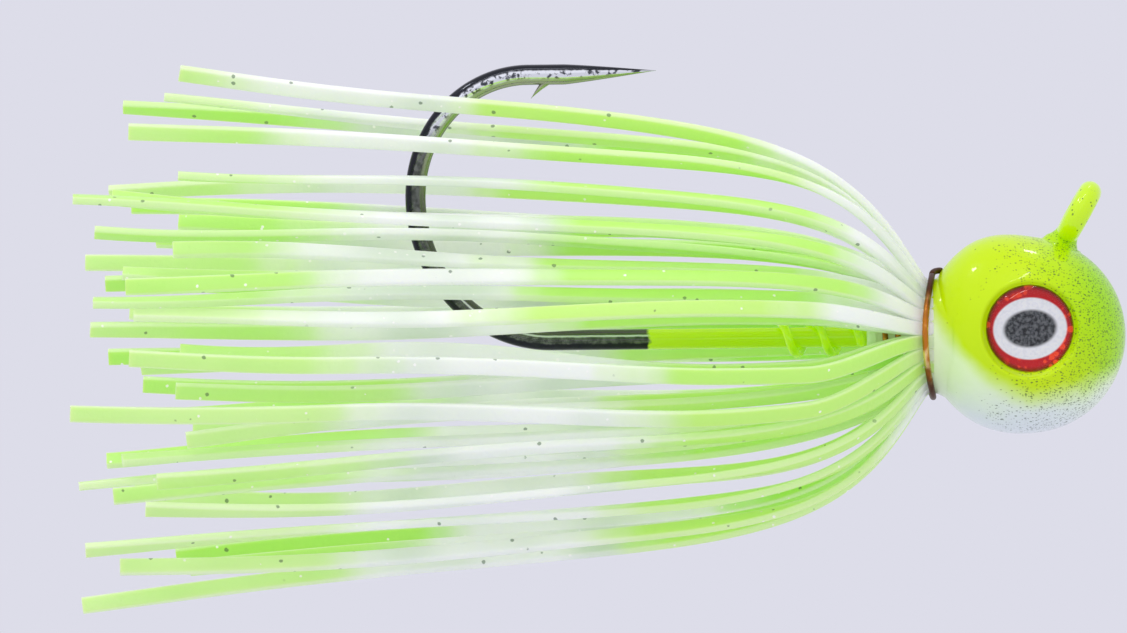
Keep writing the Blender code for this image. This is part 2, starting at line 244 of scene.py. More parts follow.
class Wire:
    """A shader socket whose sums are written as Python sums; each operator adds one Math node."""

    def __init__(self, tree, socket=None):
        self.tree = tree
        self.socket = socket

    def node(self, kind, output=0, settings=None, **inputs):
        """Adds a node, then sets or links its inputs, named or, as i0, i1 and so on, numbered."""
        made = self.tree.nodes.new(kind)
        for key, value in (settings or {}).items():
            setattr(made, key, value)
        for key, value in inputs.items():
            spot = made.inputs[int(key[1:])] if key[1:].isdigit() else made.inputs[key.replace("_", " ")]
            if isinstance(value, Wire):
                self.tree.links.new(value.socket, spot)
            else:
                spot.default_value = value
        return Wire(self.tree, made.outputs[output])

    def out(self, name):
        """Another output of the node that this socket belongs to."""
        return Wire(self.tree, self.socket.node.outputs[name])

    def math(self, how, a, b=0.0):
        """One Math node of that kind on two values."""
        return self.node("ShaderNodeMath", 0, {"operation": how}, i0=a, i1=b)

    def __add__(self, other):
        return self.math("ADD", self, other)

    def __radd__(self, other):
        return self.math("ADD", other, self)

    def __sub__(self, other):
        return self.math("SUBTRACT", self, other)

    def __rsub__(self, other):
        return self.math("SUBTRACT", other, self)

    def __mul__(self, other):
        return self.math("MULTIPLY", self, other)

    def __rmul__(self, other):
        return self.math("MULTIPLY", other, self)

    def __abs__(self):
        return self.math("ABSOLUTE", self)

    def larger(self, other):
        return self.math("MAXIMUM", self, other)

    def root(self):
        return self.math("SQRT", self)

    def ramp(self, low, high):
        """0 below low, 1 above high, smooth between."""
        settings = {"interpolation_type": "SMOOTHSTEP"}
        return self.node("ShaderNodeMapRange", 0, settings, i0=self, i1=low, i2=high, i3=0.0, i4=1.0)

    def mix(self, a, b):
        """The colour a where this is 0 and b where it is 1."""
        return self.node("ShaderNodeMix", 2, {"data_type": "RGBA"}, i0=self, i6=a, i7=b)


class Paint:
    """A finish: one Principled shader, the record's slot that it belongs to, and the patterns it reads."""

    def __init__(self, name, slot=None, **constants):
        self.slot = slot
        self.material = bpy.data.materials.new(name)
        self.material.use_nodes = True
        self.tree = self.material.node_tree
        self.shader = self.tree.nodes["Principled BSDF"]
        self.node = Wire(self.tree).node
        self.set(**constants)

    def set(self, **values):
        """Sets the shader's inputs, or links them where a value is a socket."""
        for key, value in values.items():
            spot = self.shader.inputs[key.replace("_", " ")]
            if isinstance(value, Wire):
                self.tree.links.new(value.socket, spot)
            else:
                spot.default_value = value

    def place(self):
        """Object coordinates in millimetres from the ball's centre."""
        here = self.node("ShaderNodeTexCoord", "Object")
        shifted = self.node("ShaderNodeVectorMath", 0, {"operation": "SUBTRACT"}, i0=here, i1=tuple(BALL))
        return self.node("ShaderNodeVectorMath", 0, {"operation": "SCALE"}, i0=shifted, i3=1 / MM)

    def x_and_z(self, where):
        """A place's distances ahead of the ball's centre and above it."""
        x = self.node("ShaderNodeSeparateXYZ", 0, None, i0=where)
        return x, x.out("Z")

    def attribute(self, name):
        """A value that the mesh carries at each of its points."""
        return self.node("ShaderNodeAttribute", "Fac", {"attribute_name": name})

    def noise(self, where, scale, detail=2.0):
        return self.node("ShaderNodeTexNoise", 0, None, Vector=where, Scale=scale, Detail=detail)

    def specks(self, where, scale, size, share):
        """1 inside scattered specks of about that size in millimetres, on a share of the pattern's points."""
        near = self.node("ShaderNodeTexVoronoi", "Distance", None, Vector=where, Scale=scale)
        chance = self.node("ShaderNodeSeparateColor", 0, None, i0=near.out("Color"))
        edge = size * scale / 2
        ragged = (self.noise(where, 1.2 / size) - 0.5) * edge
        return (edge - near + ragged).ramp(0.0, edge * 0.35) * (share - chance).ramp(0.0, 0.04)

    def bump(self, height, distance):
        """Fine relief for the Normal input, where a height of 1 stands out by the distance."""
        return self.node("ShaderNodeBump", 0, None, Strength=1.0, Distance=distance, Height=height)


# Paint on the head: yellow-green, greener in front, fading to mint and white below and behind, the white
# greyed a little at the bottom as painted shade
HEAD_PAINT = Paint("head paint", "paint", Roughness=0.25, Specular_IOR_Level=0.1, Coat_Weight=0.38)
HEAD_PAINT.set(Coat_Roughness=0.02, Coat_IOR=1.5)
where = HEAD_PAINT.place()
x, z = HEAD_PAINT.x_and_z(where)
cloud = HEAD_PAINT.noise(where, 0.35, 3.0) - 0.5
ahead = x - 0.5
lower_edge = ahead * ahead * 0.09 - ahead * abs(ahead) * 0.025 - 4.4
yellow_share = (z - lower_edge + cloud * 1.8).ramp(-1.3, 1.1)
greener = (x + z * 0.25 + cloud * 3.0).ramp(0.5, 7.0)
yellow = greener.mix(srgb(200, 233, 0), srgb(160, 222, 0))
# Mint above, greying to white at the bottom; the grey is painted shade
mint_and_shaded_white = (z + cloud * 2.0).ramp(-6.6, -2.4).mix(srgb(224, 232, 237), srgb(230, 251, 200))
flat = (1.0, 1.0, 1.6)
flattened = HEAD_PAINT.node("ShaderNodeVectorMath", 0, {"operation": "MULTIPLY"}, i0=where, i1=flat)
density = (x * 0.5 + abs(z) * 0.2 - z * 0.05 + cloud * 4.5).ramp(-1.4, 3.8)
flecks = HEAD_PAINT.specks(flattened, 3.0, 0.21, density * 0.9 + 0.02)
dust = HEAD_PAINT.specks(flattened, 5.4, 0.13, density)
body = yellow_share.mix(mint_and_shaded_white, yellow)
body = (flecks.larger(dust * 0.8) * 0.66).mix(body, srgb(56, 76, 44))
relief = flecks.larger(dust) + HEAD_PAINT.noise(where, 1.6) * 1.5
# Painted glow: the head paint gives off a little of its own colour
HEAD_PAINT.set(Base_Color=body, Emission_Color=body, Emission_Strength=HEAD_GLOW)
HEAD_PAINT.set(Normal=HEAD_PAINT.bump(relief, 0.02 * MM))

# The coil carries a like paint, without the flecks
COIL_PAINT = Paint("coil paint", "keeper_paint", Roughness=0.2, Coat_Weight=1.0, Coat_Roughness=0.04)
coat = COIL_PAINT.noise(COIL_PAINT.place(), 0.9).ramp(0.35, 0.7).mix(srgb(208, 248, 0), srgb(176, 232, 0))
# The coil paint has the same painted glow
COIL_PAINT.set(Base_Color=coat, Emission_Color=coat, Emission_Strength=PAINT_GLOW)

# Hook: black nickel, with paint drawn back along the shank from the head and over the ring; across the bare
# wire lie bands of painted reflection, a painted highlight line and painted shade
HOOK_METAL = Paint("hook", "hook_steel", Coat_Weight=0.35, Coat_Roughness=0.04)
where = HOOK_METAL.place()
x, z = HOOK_METAL.x_and_z(where)
ragged = (HOOK_METAL.noise(where, 0.9, 3.0) - 0.5) * 1.6
on_shank = (x - PAINT_EDGE + ragged).ramp(-0.15, 0.15) * (1 - (z - 12.0).ramp(0.0, 0.5))
painted = on_shank.larger((x - 0.5).ramp(-0.1, 0.1))
specks = HOOK_METAL.specks(where, 3.2, 0.19, (x - 1.0).ramp(0.0, 4.5) * 0.6)
coat = (specks * 0.7).mix(srgb(192, 230, 0), srgb(70, 84, 40))
# By the side of the section: black nickel at the outer edge, painted reflections over the middle and the
# inner side, painted shade on the inner edge
outer = HOOK_METAL.attribute("outer")
broken = HOOK_METAL.noise(where, 2.4, 4.0)
# Painted reflections on the flank: bright and broken high on the bend and spear, dim grey lower down
bright_reflection = broken.ramp(0.5, 0.62).mix(srgb(236, 238, 242), srgb(70, 74, 80))
dim_reflection = broken.ramp(0.35, 0.65).mix(srgb(112, 116, 108), srgb(70, 74, 68))
flank_reflection = (z + broken * 2.0).ramp(14.0, 16.5).mix(dim_reflection, bright_reflection)
# Painted reflection on the inner side, olive and paler higher up
underside_reflection = z.ramp(8.0, 15.0).mix(srgb(88, 92, 76), srgb(172, 176, 150))
nickel_with_reflections = (outer + broken * 0.3).ramp(0.42, 0.62).mix(flank_reflection, srgb(34, 36, 42))
nickel_with_reflections = (outer * -1 + broken * 0.3).ramp(0.42, 0.66).mix(nickel_with_reflections, underside_reflection)
# Painted shade along the very inner edge
nickel_with_reflections = (outer * -1).ramp(0.86, 0.98).mix(nickel_with_reflections, srgb(44, 46, 46))
# A painted highlight line along the lower shank, a little towards its inner side
highlight_line = (1 - abs(outer + 0.3 + broken * 0.1).ramp(0.03, 0.14)) * (1 - z.ramp(3.0, 6.0))
nickel_with_reflections = (highlight_line * 0.8).mix(nickel_with_reflections, srgb(232, 234, 234))
HOOK_METAL.set(Base_Color=painted.mix(nickel_with_reflections, coat), Metallic=1 - painted, Roughness=0.1 + broken * 0.16)
# Painted glow, on the painted parts of the hook only
HOOK_METAL.set(Emission_Color=painted.mix((0.0, 0.0, 0.0, 1.0), coat), Emission_Strength=PAINT_GLOW)

# Wires: copper with painted highlights in patches, darkened by painted shade towards its bent ends and its
# bottom, and a gold one that is dull in places
COPPER = Paint("copper", "copper", Metallic=1.0)
where = COPPER.place()
z = COPPER.x_and_z(where)[1]
# Painted shade: darker towards the top and the bottom, and rougher there too
end_shade = (abs(z) + COPPER.noise(where, 1.2) * 2.0).ramp(2.0, 4.6)
# Painted highlights: pale gold patches on the copper
copper_with_highlights = COPPER.noise(where, 0.8).ramp(0.45, 0.6).mix(srgb(206, 128, 50), srgb(255, 222, 150))
COPPER.set(Base_Color=end_shade.mix(copper_with_highlights, srgb(84, 52, 34)), Roughness=0.16 + end_shade * 0.25)
GOLD = Paint("gold wire", "gold_wire", Metallic=1.0)
dulled = GOLD.noise(GOLD.place(), 2.0).ramp(0.3, 0.7)
GOLD.set(Base_Color=dulled.mix(srgb(214, 160, 58), srgb(140, 92, 30)), Roughness=0.2 + dulled * 0.2)

# Eyes: a printed foil under a clear dome, on a soft adhesive pad
PAD = Paint("eye adhesive", "eye_adhesive", Roughness=0.7)
PAD.set(Base_Color=PAD.noise(PAD.place(), 3.0).mix(srgb(206, 200, 188), srgb(188, 180, 166)))
DOME = Paint("clear dome", "eye_dome", Transmission_Weight=1.0, IOR=1.3, Base_Color=(1.0, 1.0, 1.0, 1.0))
DOME.set(Roughness=DOME.noise(DOME.place(), 1.5, 4.0).ramp(0.5, 0.8) * 0.04)
FOIL = Paint("eye foil", "eye_foil", Specular_IOR_Level=0.0)
where = FOIL.place()
x, z = FOIL.x_and_z(where)
across = (x - PRINT_X) * math.cos(PRINT_LEAN) + (z - PRINT_Z) * math.sin(PRINT_LEAN)
upward = (z - PRINT_Z) * math.cos(PRINT_LEAN) - (x - PRINT_X) * math.sin(PRINT_LEAN)


def oval(half, soft):
    """1 inside an oval with those half sizes, across and upward, and 0 outside."""
    wide, tall = half
    size = (across * across * (1 / wide**2) + upward * upward * (1 / tall**2)).root()
    return 1 - (size - 1).ramp(-soft, soft)


grain = FOIL.noise(where, 4.2, 4.0)
glitter = FOIL.specks(where, 2.4, 0.5, 0.45)
# Painted glints: the glitter on the red ring turns bright orange at the lower right and the upper left
lit_low = (across * 0.3 - upward * 0.35 + 0.2).ramp(0.0, 1.0)
lit_high = (upward * 0.4 - across * 0.35 - 0.6).ramp(0.0, 0.6)
radius = (across * across + upward * upward).root()
red = radius.ramp(2.45, 2.9).mix(srgb(196, 8, 14), srgb(72, 14, 6))
red = (glitter * (lit_low + lit_high) * 0.9).mix(red, srgb(255, 74, 30))
white = grain.ramp(0.35, 0.65).mix(srgb(244, 244, 246), srgb(232, 233, 236))
black = grain.ramp(0.36, 0.66).mix(srgb(34, 36, 38), srgb(104, 107, 110))
iris = oval(IRIS_HALF, 0.03)
pupil = oval(PUPIL_HALF, 0.1)
print_colour = pupil.mix(iris.mix(red, white), black)
FOIL.set(Base_Color=print_colour, Roughness=0.3 + iris * 0.2, Metallic=0.35 - iris * 0.35)
# Painted glow that brightens the print under the dome
FOIL.set(Emission_Color=print_colour, Emission_Strength=FOIL_GLOW)

# Silicone strands: lime and clear-white bands with soft, uneven edges, dark flakes and small painted glints
STRAND = Paint("silicone", "silicone", Coat_Weight=0.2, Coat_Roughness=0.2, Subsurface_Weight=0.55)
STRAND.set(Subsurface_Scale=0.9 * MM, Subsurface_Radius=(1.0, 1.1, 0.7))
where = STRAND.place()
along = STRAND.attribute("along")
upper = STRAND.attribute("upper")
seed = STRAND.attribute("seed")
edge = STRAND.attribute("edge")
lengthwise = STRAND.node("ShaderNodeCombineXYZ", 0, None, X=along, Y=seed * 83.0, Z=edge * 0.6)
blotch = (STRAND.noise(lengthwise, 0.2) - 0.5) * 9.0 + (seed - 0.5) * 9.0
begun = (along + blotch - upper * 9.0 + 3.0).ramp(-2.0, 3.0)
ended = (along + blotch - upper * 10.5 - 17.0).ramp(-2.5, 3.5)
tail = (along + blotch * 0.9 - upper * 6.0 - 37.0).ramp(-3.5, 4.5)
lime_share = (begun * (1 - ended)).larger(tail * (0.72 + seed * 0.28))
lime = seed.mix(srgb(202, 243, 130), srgb(183, 239, 102))
clear = STRAND.noise(lengthwise, 0.1, 1.0).ramp(0.4, 0.75).mix(srgb(240, 244, 238), srgb(206, 220, 202))
body = lime_share.mix(clear, lime)
body = (edge.ramp(0.7, 1.0) * 0.3).mix(body, srgb(244, 248, 240))
flakes = STRAND.specks(where, 1.0, 0.34, 0.2)
# Painted glints: small white highlights, thicker in patches
clustered = STRAND.noise(where, 0.11).ramp(0.56, 0.68)
glints = STRAND.specks(where, 1.5, 0.24, clustered * 0.7 + 0.14)
body = (flakes * 0.66).mix(body, srgb(58, 92, 58))
body = (glints * 0.8).mix(body, srgb(255, 255, 250))
relief = STRAND.noise(lengthwise, 1.1, 3.0) + STRAND.noise(where, 2.5)
STRAND.set(Base_Color=body, Roughness=0.36 - glints * 0.2)
# Painted glow that lifts the strips' shade
STRAND.set(Emission_Color=body, Emission_Strength=STRAND_GLOW)
STRAND.set(Normal=STRAND.bump(relief, 0.03 * MM))


def surface(name, node, grid, paint, closed_u=False, closed_v=False, caps=False, attributes=None):
    """A mesh on a grid of points (rows, columns, 3): neighbours become quads, wrapped round where asked.

    Points that fall together, as at a pole, are merged. The piece stands for the CAD node and rides with
    the body. The attributes are values at the grid's points, which the finish reads.
    """
    rows, columns = grid.shape[:2]
    index = np.arange(rows * columns).reshape(rows, columns)
    if closed_u:
        index = np.vstack([index, index[:1]])
    if closed_v:
        index = np.hstack([index, index[:, :1]])
    quads = np.stack([index[:-1, :-1], index[:-1, 1:], index[1:, 1:], index[1:, :-1]], -1).reshape(-1, 4)
    faces = quads.tolist()
    if caps:
        faces += [index[0, :columns][::-1].tolist(), index[-1, :columns].tolist()]
    mesh = bpy.data.meshes.new(name)
    mesh.from_pydata((grid.reshape(-1, 3) + BALL).tolist(), [], faces)
    for key, values in (attributes or {}).items():
        layer = mesh.attributes.new(key, "FLOAT", "POINT")
        layer.data.foreach_set("value", np.ascontiguousarray(values, np.float32).ravel())
    merged = bmesh.new()
    merged.from_mesh(mesh)
    bmesh.ops.remove_doubles(merged, verts=merged.verts, dist=MERGE_DISTANCE)
    merged.to_mesh(mesh)
    merged.free()
    mesh.polygons.foreach_set("use_smooth", np.ones(len(mesh.polygons), bool))
    mesh.set_sharp_from_angle(angle=SHARP_ANGLE)
    mesh.materials.append(paint.material)
    piece = bpy.data.objects.new(name, mesh)
    bpy.context.scene.collection.objects.link(piece)
    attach(piece, "root")
    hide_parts(node)
    return piece


def circle(sides):
    """Evenly spaced angles round a circle, in radians."""
    return np.linspace(0, 2 * np.pi, sides, endpoint=False)


def frames(path, across):
    """Unit vectors to the side and up at each point of a path; the side is across, squared to the path."""
    ahead = np.gradient(path, axis=0)
    ahead /= np.linalg.norm(ahead, axis=1, keepdims=True)
    side = across - ahead * (ahead @ across)[:, None]
    side /= np.linalg.norm(side, axis=1, keepdims=True)
    return side, np.cross(ahead, side)


def sweep(path, radii, across, sides=20):
    """A round section carried along a path: at each point, radius * (cos t * side + sin t * up)."""
    side, up = frames(path, across)
    t = circle(sides)[None, :, None]
    section = np.cos(t) * side[:, None] + np.sin(t) * up[:, None]
    return path[:, None] + np.asarray(radii)[:, None, None] * section


def turned(stations, sides=96):
    """A profile of (x, radius) stations turned about the shank axis."""
    t = circle(sides)
    out = stations[:, 1:]
    return np.stack([np.repeat(stations[:, :1], sides, 1), out * np.cos(t), out * np.sin(t)], -1)


def rounded_ends(path, radius, steps=6):
    """A wire's path with a half-round end added at both ends, and the radii that close them."""
    t = np.linspace(0, np.pi / 2, steps)
    first = path[0] - path[1]
    last = path[-1] - path[-2]
    head = path[0] + first / np.linalg.norm(first) * radius * np.cos(t[:-1])[:, None]
    tail = path[-1] + last / np.linalg.norm(last) * radius * np.sin(t[1:])[:, None]
    closing = radius * np.maximum(np.sin(t[:-1]), 0.02)
    radii = np.concatenate([closing, np.full(len(path), radius), closing[::-1]])
    return np.concatenate([head, path, tail]), radii


def helix(start, pitch, radius, angle, turn, per_loop=96):
    """Points of a coil about the shank axis, with its angles in degrees and 90 at the top."""
    share = np.linspace(0, 1, int(turn / 360 * per_loop) + 1)
    t = np.radians(angle + turn * share)
    return np.stack([start + pitch * turn / 360 * share, radius * np.cos(t), radius * np.sin(t)], -1)


def ease(share):
    """A smooth step: 0 below 0, 1 above 1, 3s^2 - 2s^3 between."""
    share = np.clip(share, 0, 1)
    return share * share * (3 - 2 * share)


# Head
def head_shell():
    """Sphere on rings centred on the eyes, sunk inside the socket rim.

    A ring of radius off about the eye moves back to the ball's own centre as 1 - (off / HEAD_RADIUS)^2
    falls under EYE_CENTRING. Inside the rim the depth drops from the sphere by a smooth fillet of clear fill,
    then by a step to the socket's floor. Every point is then moved out by the share BACK_FULLNESS * fuller.
    Fuller grows with the slant from the shank, fades again a little past the ball's middle, is larger above
    than below, and is nothing at the eyes.
    """
    rim = EYE_RADIUS + FILL_STEP + FILL_WIDTH
    inside = np.linspace(0, EYE_RADIUS, 8)
    fillet = np.linspace(EYE_RADIUS, rim, 26)[1:]
    beyond = HEAD_RADIUS * np.sin(np.linspace(math.asin(rim / HEAD_RADIUS), np.pi / 2, 54))[1:]
    off = np.concatenate([inside, fillet, beyond])[:, None]
    around = circle(240)[None, :]
    shift = EYE_RISE * np.minimum(1, (1 - (off / HEAD_RADIUS) ** 2) / EYE_CENTRING)
    px = off * np.cos(around)
    pz = off * np.sin(around) + shift
    sphere = np.sqrt(np.maximum(0, HEAD_RADIUS**2 - px**2 - pz**2))
    step = ease((off - EYE_RADIUS) / FILL_STEP)
    rise = ease((off - EYE_RADIUS - FILL_STEP) / FILL_WIDTH)
    depth = SOCKET_FLOOR + (FILL_HEIGHT - SOCKET_FLOOR) * step + (sphere - FILL_HEIGHT) * rise
    left = np.stack([px, depth, pz], -1)
    slant = np.degrees(np.arctan2(np.hypot(depth, pz), -px))
    fuller = ease(slant / FULL_GROWTH) * (1 - ease((slant - FULL_FADE) / FULL_FADE_SPAN))
    fuller = fuller * (FULL_LEVEL + FULL_LIFT * pz / HEAD_RADIUS) * ease((off - rim) / (HEAD_RADIUS - rim))
    left = left * (1 + BACK_FULLNESS * fuller)[..., None]
    right = left[-2::-1] * np.array([1, -1, 1])
    return np.concatenate([left, right])


surface("head_shell", "head_casting", head_shell(), HEAD_PAINT, closed_v=True)

# Collar: a seat that flares into the ball in front of the strands, then shoulder, waist and lip
share = np.linspace(1, 0, 12)
seat_x = SEAT_END + LIP_CHAMFER + (SEAT_START - SEAT_END - LIP_CHAMFER) * share
seat = list(zip(seat_x, SEAT_RADIUS + SEAT_FLARE * share**SEAT_CURVE))
collar = np.array([
    (SEAT_START, 0.0),
    *seat,
    (SEAT_END, SEAT_RADIUS - LIP_CHAMFER),
    (SEAT_END, SHOULDER_RADIUS),
    (SHOULDER_END, SHOULDER_RADIUS),
    (SHOULDER_END, WAIST_RADIUS),
    (WAIST_END, WAIST_RADIUS),
    (WAIST_END, LIP_RADIUS),
    (COLLAR_END + LIP_CHAMFER, LIP_RADIUS),
    (COLLAR_END, LIP_RADIUS - LIP_CHAMFER),
    (COLLAR_END, 0.0),
])
surface("head_collar", "head_casting", turned(collar)[::-1], HEAD_PAINT, closed_v=True)

# Eyes: domes with a flat foot, a short edge and a half-ellipse crown; foil and pad keep their CAD shapes
for side, sign in (("left", 1), ("right", -1)):
    t = circle(96)
    lift = np.linspace(0, np.pi / 2, 28)
    out = np.concatenate([[0.0, EYE_RADIUS], EYE_RADIUS * np.cos(lift)])[:, None]
    up = np.concatenate([[0.0, 0.0], DOME_EDGE + DOME_CROWN * np.sin(lift)])[:, None]
    height = np.repeat(sign * (DOME_FOOT + up), len(t), 1)
    dome = np.stack([out * np.cos(t), height, out * np.sin(t) + EYE_RISE], -1)
    dome_piece = surface(f"dome_{side}", f"eye_dome_{side}", dome[::-sign], DOME, closed_v=True)
    dome_piece.visible_shadow = False
    for part, paint in (("foil", FOIL), ("pad", PAD)):
        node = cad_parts[f"eye_{part}_{side}"]
        node.data.materials.clear()
        node.data.materials.append(paint.material)


# Hook
def bend(centre_x, centre_z, reach, rise, start, end, count=60):
    """Part of an ellipse in the hook's plane, its angles in degrees."""
    t = np.radians(np.linspace(start, end, count))
    return np.stack([centre_x + reach * np.cos(t), 0 * t, centre_z + rise * np.sin(t)], -1)


stem = np.array([math.cos(STEM_ANGLE), 0, math.sin(STEM_ANGLE)])
ring_centre = -BALL
corner_x = STEM_ROOT - STEM_BEND * math.tan(STEM_ANGLE / 2)
corner = bend(corner_x, STEM_BEND, STEM_BEND, STEM_BEND, math.degrees(STEM_ANGLE) - 90, -90, 24)
shank_x = np.linspace(corner_x - SHANK_MARGIN, -SHANK_LENGTH + SHANK_MARGIN, 60)
shank = np.stack([shank_x, 0 * shank_x, 0 * shank_x], -1)
lower = bend(-SHANK_LENGTH, BEND_HEIGHT, BEND_REACH, BEND_HEIGHT, 270, 181)
upper_reach = BEND_REACH - SPEAR_SETBACK
upper_bend = bend(-SHANK_LENGTH - SPEAR_SETBACK, BEND_HEIGHT, upper_reach, HOOK_GAPE - BEND_HEIGHT, 180, 90)
spear = np.linspace(SPEAR_GAP, SPEAR_LENGTH, 70)
taper = np.clip((spear - SPEAR_LENGTH + POINT_LENGTH) / POINT_LENGTH, 0, 1)
spear_start = upper_bend[-1]
spear_path = spear_start + np.stack([spear, 0 * spear, POINT_RISE * taper], -1)
hook_path = np.concatenate([[ring_centre - stem * RING_RADIUS], corner, shank, lower, upper_bend, spear_path])
hook_radii = np.full(len(hook_path), HOOK_RADIUS)
hook_radii[-len(spear):] = HOOK_RADIUS * np.maximum(1 - taper**POINT_CURVE, 0.03)
hook_grid = sweep(hook_path, hook_radii, ACROSS, HOOK_SIDES)
forged = ease((FORGED_START - SHANK_LENGTH - hook_path[:, 0]) / FORGED_GROWTH)
forged = forged * (1 - ease((hook_path[:, 2] - FORGED_TOP) / FORGED_FADE))
hook_grid[:, :, 1] *= (1 - FORGING * forged)[:, None]
# Where each point lies round the wire, from the outer edge (1) to the inner (-1); the hook's painted
# reflection and shade bands follow it
outer_edge = {"outer": np.broadcast_to(np.sin(circle(HOOK_SIDES)), hook_grid.shape[:2])}
surface("hook_wire", "hook", hook_grid, HOOK_METAL, closed_v=True, caps=True, attributes=outer_edge)

# Ring: a circle in the plane of the stem and the width, thickened by its paint
t = circle(72)[:, None]
outward = np.cos(t) * stem + np.sin(t) * ACROSS
b = circle(HOOK_SIDES)[None, :, None]
ring_section = np.cos(b) * outward[:, None] + np.sin(b) * np.cross(stem, ACROSS)
ring_grid = ring_centre + RING_RADIUS * outward[:, None] + HOOK_RADIUS * RING_COAT * ring_section
surface("hook_ring", "hook", ring_grid[::-1], HOOK_METAL, closed_u=True, closed_v=True)

# Barb: a tapered, slightly bowed cut below the spear
barb_root = spear_start + np.array([SPEAR_LENGTH - BARB_POSITION, 0, -BARB_SEAT])
barb_line = np.array([-BARB_LENGTH, 0, BARB_SEAT - BARB_DROP])
share = np.linspace(0, 1, 20)[:, None]
barb_path = barb_root + barb_line * share + np.array([0, 0, BARB_BOW]) * np.sin(np.pi * share)
barb_radii = BARB_RADIUS * np.maximum(1 - share[:, 0] ** BARB_CURVE, 0.05)
barb_grid = sweep(barb_path, barb_radii, ACROSS, 16)
# The barb takes the painted reflection of the wire's inner side
inner_edge = {"outer": np.full(barb_grid.shape[:2], -0.6)}
surface("hook_barb", "hook", barb_grid, HOOK_METAL, closed_v=True, caps=True, attributes=inner_edge)

# Fillet of paint where the stem leaves the ball
climb = np.linspace(FILLET_FOOT, FILLET_TOP, 20)
stem_out = np.array([STEM_ROOT, 0, 0]) + stem * STEM_OUT
ball_out = stem_out / np.linalg.norm(stem_out)
fillet_path = stem_out + np.where(climb[:, None] < 0, ball_out, stem) * climb[:, None]
fillet_radii = HOOK_RADIUS * RING_COAT + FILLET_FLARE * (1 - climb / FILLET_TOP) ** 2
fillet_grid = sweep(fillet_path, fillet_radii, ACROSS, 36)
surface("stem_fillet", "head_casting", fillet_grid, HEAD_PAINT, closed_v=True, caps=True)

# Coil and wires
keeper_start = COLLAR_END - KEEPER_GAP - KEEPER_TURNS * KEEPER_PITCH
keeper = helix(keeper_start, KEEPER_PITCH, KEEPER_COIL, 90, 360 * KEEPER_TURNS)
path, radii = rounded_ends(keeper, KEEPER_RADIUS)
surface("keeper", "keeper_coil", sweep(path, radii, SHANKWISE, 18), COIL_PAINT, closed_v=True, caps=True)
wrap_out = WAIST_RADIUS + WRAP_LIFT
wrap = helix(WAIST_END + WRAP_INSET, WRAP_PITCH, wrap_out, WRAP_START, 360 * WRAP_TURNS)
path, radii = rounded_ends(wrap, WRAP_RADIUS)
surface("wrap", "collar_wrap", sweep(path, radii, SHANKWISE, 14), GOLD, closed_v=True, caps=True)

# Tie wire: a bent tag, then most of a turn; top and bottom lie further ahead than the sides
tie_out = OUTER_ROOT + ROOT_SQUEEZE * STRAND_THICKNESS / 2 + TIE_GAP + TIE_RADIUS
tag_share = np.linspace(1, 0.02, 24)
tag_angle = np.radians(TIE_START - TAG_TURN * tag_share)
tag_out = tie_out + TAG_LIFT * np.sqrt(tag_share)
tag_x = TIE_X + TAG_REACH * tag_share**TAG_CURVE
tag = np.stack([tag_x, tag_out * np.cos(tag_angle), tag_out * np.sin(tag_angle)], -1)
tie = np.concatenate([tag, helix(TIE_X, 0.0, tie_out, TIE_START, TIE_TURN)])
tie[:, 0] += TIE_SHIFT + TIE_BOW * (np.clip(tie[:, 2] / tie_out, -1, 1) ** 2 - TIE_BOW_REST)
path, radii = rounded_ends(tie, TIE_RADIUS)
surface("tie", "tie_wire", sweep(path, radii, SHANKWISE, 16), COPPER, closed_v=True, caps=True)


# Skirt
def slow_wave(own, height, pace, along):
    """A sine wave of its own height in millimetres, pace and phase, which grows along the strip."""
    return own.uniform(*height) * MM * np.sin(2 * np.pi * (own.uniform(*pace) * along + own.random())) * along


def strip_section():
    """Widths and heights of a rounded rectangle: cosine and sine to a power below 1, with their signs."""
    t = circle(STRAND_SIDES) + np.pi / STRAND_SIDES
    wide = np.sign(np.cos(t)) * np.abs(np.cos(t)) ** STRAND_CORNER * STRAND_WIDTH / 2
    high = np.sign(np.sin(t)) * np.abs(np.sin(t)) ** STRAND_CORNER * STRAND_THICKNESS / 2
    return wide, high


